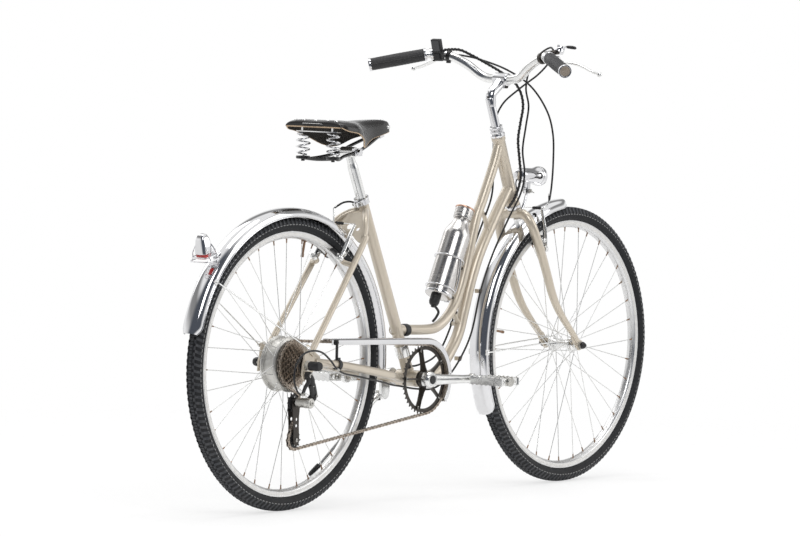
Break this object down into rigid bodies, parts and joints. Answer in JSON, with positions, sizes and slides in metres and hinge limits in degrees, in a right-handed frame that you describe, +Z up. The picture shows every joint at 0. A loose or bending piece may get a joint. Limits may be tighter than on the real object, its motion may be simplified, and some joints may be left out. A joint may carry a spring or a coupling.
{
  "type": "electric bicycle",
  "caption": "Step-through electric city bicycle with rear drum motor, bottle battery, derailleur gears, rim brakes, fenders and lamps.",
  "frame": {"origin": "middle of the length and width at the ground", "axes": "+X towards the front wheel, +Y to the rider's left, +Z up"},
  "size_m": [1.8432, 0.6284, 1.1255],
  "materials": {
    "champagne_paint": "metallic satin",
    "bright_chrome": "mirror",
    "polished_alloy": "polished",
    "axle_steel": "brushed",
    "bottle_metal": "brushed",
    "chain_steel": "oiled",
    "dark_steel": "blackened",
    "tyre_rubber": "matte",
    "cable_rubber": "satin",
    "black_plastic": "satin",
    "black_frame_steel": "satin",
    "saddle_leather": "satin",
    "grip_leather": "matte",
    "red_lens": "clear",
    "copper_cap": "polished"
  },
  "bodies": {
    "frame": {"main_frame": "champagne_paint", "bottom_bracket": "dark_steel", "seat_clamp": "bright_chrome", "headset_lower": "bright_chrome", "rear_fender": "bright_chrome", "rear_light": "bright_chrome", "rear_lens": "red_lens", "chain_guard": "bright_chrome", "battery_cage": "bright_chrome", "battery_lead": "black_plastic", "rear_axle": "dark_steel", "chain": "chain_steel", "wire_harness": "cable_rubber", "rear_brake_cable": "cable_rubber", "gear_cable": "cable_rubber"},
    "steering": {"fork": "champagne_paint", "headset_upper": "bright_chrome", "stem": "polished_alloy", "handlebar": "polished_alloy", "grip_left": "grip_leather", "grip_right": "grip_leather", "display": "black_plastic", "front_fender": "bright_chrome", "lamp_bracket": "bright_chrome", "front_axle": "axle_steel", "front_brake_cable": "cable_rubber"},
    "front_wheel": {"front_hub": "polished_alloy", "front_rim": "polished_alloy", "front_tyre": "tyre_rubber"},
    "rear_wheel": {"motor_hub": "polished_alloy", "rear_rim": "polished_alloy", "rear_tyre": "tyre_rubber"},
    "sprockets": {"freewheel": "chain_steel"},
    "cranks": {"crank_spindle": "dark_steel", "chainring": "dark_steel", "crank_right": "polished_alloy", "crank_left": "polished_alloy"},
    "right_pedal": {"pedal_right": "polished_alloy"},
    "left_pedal": {"pedal_left": "polished_alloy"},
    "stand": {"kickstand": "polished_alloy"},
    "battery": {"battery_case": "bottle_metal", "battery_cap": "copper_cap"},
    "derailleur": {"derailleur_body": "black_plastic"},
    "cage": {"derailleur_cage": "dark_steel"},
    "upper_pulley": {"guide_pulley": "black_plastic"},
    "lower_pulley": {"tension_pulley": "black_plastic"},
    "saddle_base": {"seatpost": "polished_alloy", "saddle_frame": "black_frame_steel", "saddle_spring_left": "bright_chrome", "saddle_spring_right": "bright_chrome"},
    "saddle": {"saddle_top": "saddle_leather"},
    "right_lever": {"brake_lever_right": "polished_alloy"},
    "left_lever": {"brake_lever_left": "polished_alloy"},
    "front_right_arm": {"front_brake_arm_right": "polished_alloy"},
    "front_left_arm": {"front_brake_arm_left": "polished_alloy"},
    "rear_right_arm": {"rear_brake_arm_right": "polished_alloy"},
    "rear_left_arm": {"rear_brake_arm_left": "polished_alloy"},
    "shifter": {"shifter_lever": "bright_chrome"},
    "lamp": {"headlamp": "bright_chrome"},
    "display_key": {"display_button": "cable_rubber"}
  },
  "joints": [
    {"name": "steering_turn", "type": "hinge", "parent": "frame", "child": "steering", "pos_m": [0.3086, 0, 0.795], "axis": [-0.3746, 0, 0.9272], "range_deg": [-55, 55], "deforming": ["wire_harness", "rear_brake_cable", "gear_cable"]},
    {"name": "front_wheel_spin", "type": "hinge", "parent": "steering", "child": "front_wheel", "pos_m": [0.5706, 0, 0.351], "axis": [0, 1, 0], "continuous": true},
    {"name": "rear_wheel_spin", "type": "hinge", "parent": "frame", "child": "rear_wheel", "pos_m": [-0.5594, 0, 0.351], "axis": [0, 1, 0], "continuous": true},
    {"name": "crank_spin", "type": "hinge", "parent": "frame", "child": "cranks", "pos_m": [-0.0694, 0, 0.294], "axis": [0, 1, 0], "continuous": true, "deforming": ["chain"]},
    {"name": "freewheel_spin", "type": "hinge", "parent": "frame", "child": "sprockets", "pos_m": [-0.5594, 0, 0.351], "axis": [0, 1, 0], "continuous": true, "deforming": ["chain"]},
    {"name": "pedal_right_spin", "type": "hinge", "parent": "cranks", "child": "right_pedal", "pos_m": [0.1005, -0.135, 0.28807], "axis": [0, 1, 0], "continuous": true},
    {"name": "pedal_left_spin", "type": "hinge", "parent": "cranks", "child": "left_pedal", "pos_m": [-0.23929, 0.135, 0.29993], "axis": [0, 1, 0], "continuous": true},
    {"name": "stand_fold", "type": "hinge", "parent": "frame", "child": "stand", "pos_m": [-0.1394, 0.04, 0.255], "axis": [0, 1, 0], "range_deg": [0, 50]},
    {"name": "battery_lift", "type": "slide", "parent": "frame", "child": "battery", "axis": [0.4364, 0, 0.8998], "range_m": [0, 0.12]},
    {"name": "derailleur_swing", "type": "hinge", "parent": "frame", "child": "derailleur", "pos_m": [-0.5644, -0.0718, 0.328], "axis": [0, 1, 0], "range_deg": [0, 20], "stiffness_Nm_per_rad": 4, "deforming": ["chain", "gear_cable"]},
    {"name": "cage_swing", "type": "hinge", "parent": "derailleur", "child": "cage", "pos_m": [-0.5584, -0.03, 0.262], "axis": [0, 1, 0], "range_deg": [-30, 15], "stiffness_Nm_per_rad": 1.5, "deforming": ["chain"]},
    {"name": "guide_pulley_spin", "type": "hinge", "parent": "cage", "child": "upper_pulley", "pos_m": [-0.5584, -0.03, 0.262], "axis": [0, 1, 0], "continuous": true, "deforming": ["chain"]},
    {"name": "tension_pulley_spin", "type": "hinge", "parent": "cage", "child": "lower_pulley", "pos_m": [-0.55569, -0.03, 0.17095], "axis": [0, 1, 0], "continuous": true, "deforming": ["chain"]},
    {"name": "seatpost_slide", "type": "slide", "parent": "frame", "child": "saddle_base", "axis": [-0.4226, 0, 0.9063], "range_m": [-0.03, 0.06]},
    {"name": "saddle_flex", "type": "hinge", "parent": "saddle_base", "child": "saddle", "pos_m": [-0.2164, 0, 0.898], "axis": [0, -1, 0], "range_deg": [0, 2], "stiffness_Nm_per_rad": 60, "deforming": ["saddle_spring_left", "saddle_spring_right"]},
    {"name": "lever_right_squeeze", "type": "hinge", "parent": "steering", "child": "right_lever", "pos_m": [0.2756, -0.176, 1.0745], "axis": [0, 0, -1], "range_deg": [0, 20], "stiffness_Nm_per_rad": 1.5},
    {"name": "lever_left_squeeze", "type": "hinge", "parent": "steering", "child": "left_lever", "pos_m": [0.2756, 0.176, 1.0745], "axis": [0, 0, 1], "range_deg": [0, 20], "stiffness_Nm_per_rad": 1.5},
    {"name": "front_arm_right_close", "type": "hinge", "parent": "steering", "child": "front_right_arm", "pos_m": [0.4266, -0.04, 0.6], "axis": [-0.9982, 0, -0.0599], "range_deg": [0, 2.6], "stiffness_Nm_per_rad": 1},
    {"name": "front_arm_left_close", "type": "hinge", "parent": "steering", "child": "front_left_arm", "pos_m": [0.4266, 0.04, 0.6], "axis": [0.9982, 0, 0.0599], "range_deg": [0, 2.6], "stiffness_Nm_per_rad": 1},
    {"name": "rear_arm_right_close", "type": "hinge", "parent": "frame", "child": "rear_right_arm", "pos_m": [-0.40465, -0.04, 0.59965], "axis": [-0.7843, 0, 0.6204], "range_deg": [0, 2.6], "stiffness_Nm_per_rad": 1},
    {"name": "rear_arm_left_close", "type": "hinge", "parent": "frame", "child": "rear_left_arm", "pos_m": [-0.40465, 0.04, 0.59965], "axis": [0.7843, 0, -0.6204], "range_deg": [0, 2.6], "stiffness_Nm_per_rad": 1},
    {"name": "shifter_turn", "type": "hinge", "parent": "steering", "child": "shifter", "pos_m": [0.2906, -0.172, 1.108], "axis": [0.453, -0.1007, 0.8858], "range_deg": [-10, 40]},
    {"name": "lamp_tilt", "type": "hinge", "parent": "steering", "child": "lamp", "pos_m": [0.3996, 0, 0.746], "axis": [0, 1, 0], "range_deg": [-15, 20]},
    {"name": "key_press", "type": "slide", "parent": "steering", "child": "display_key", "axis": [0.9578, 0, 0.2873], "range_m": [0, 0.0005], "stiffness_N_per_m": 200}
  ],
  "couplings": [
    {"joint": "freewheel_spin", "follows": "crank_spin", "ratio": 1.5},
    {"joint": "guide_pulley_spin", "follows": "crank_spin", "ratio": -3.8182},
    {"joint": "tension_pulley_spin", "follows": "crank_spin", "ratio": 3.8182},
    {"joint": "front_arm_right_close", "follows": "lever_left_squeeze", "ratio": 0.13},
    {"joint": "front_arm_left_close", "follows": "lever_left_squeeze", "ratio": 0.13},
    {"joint": "rear_arm_right_close", "follows": "lever_right_squeeze", "ratio": 0.13},
    {"joint": "rear_arm_left_close", "follows": "lever_right_squeeze", "ratio": 0.13}
  ]
}
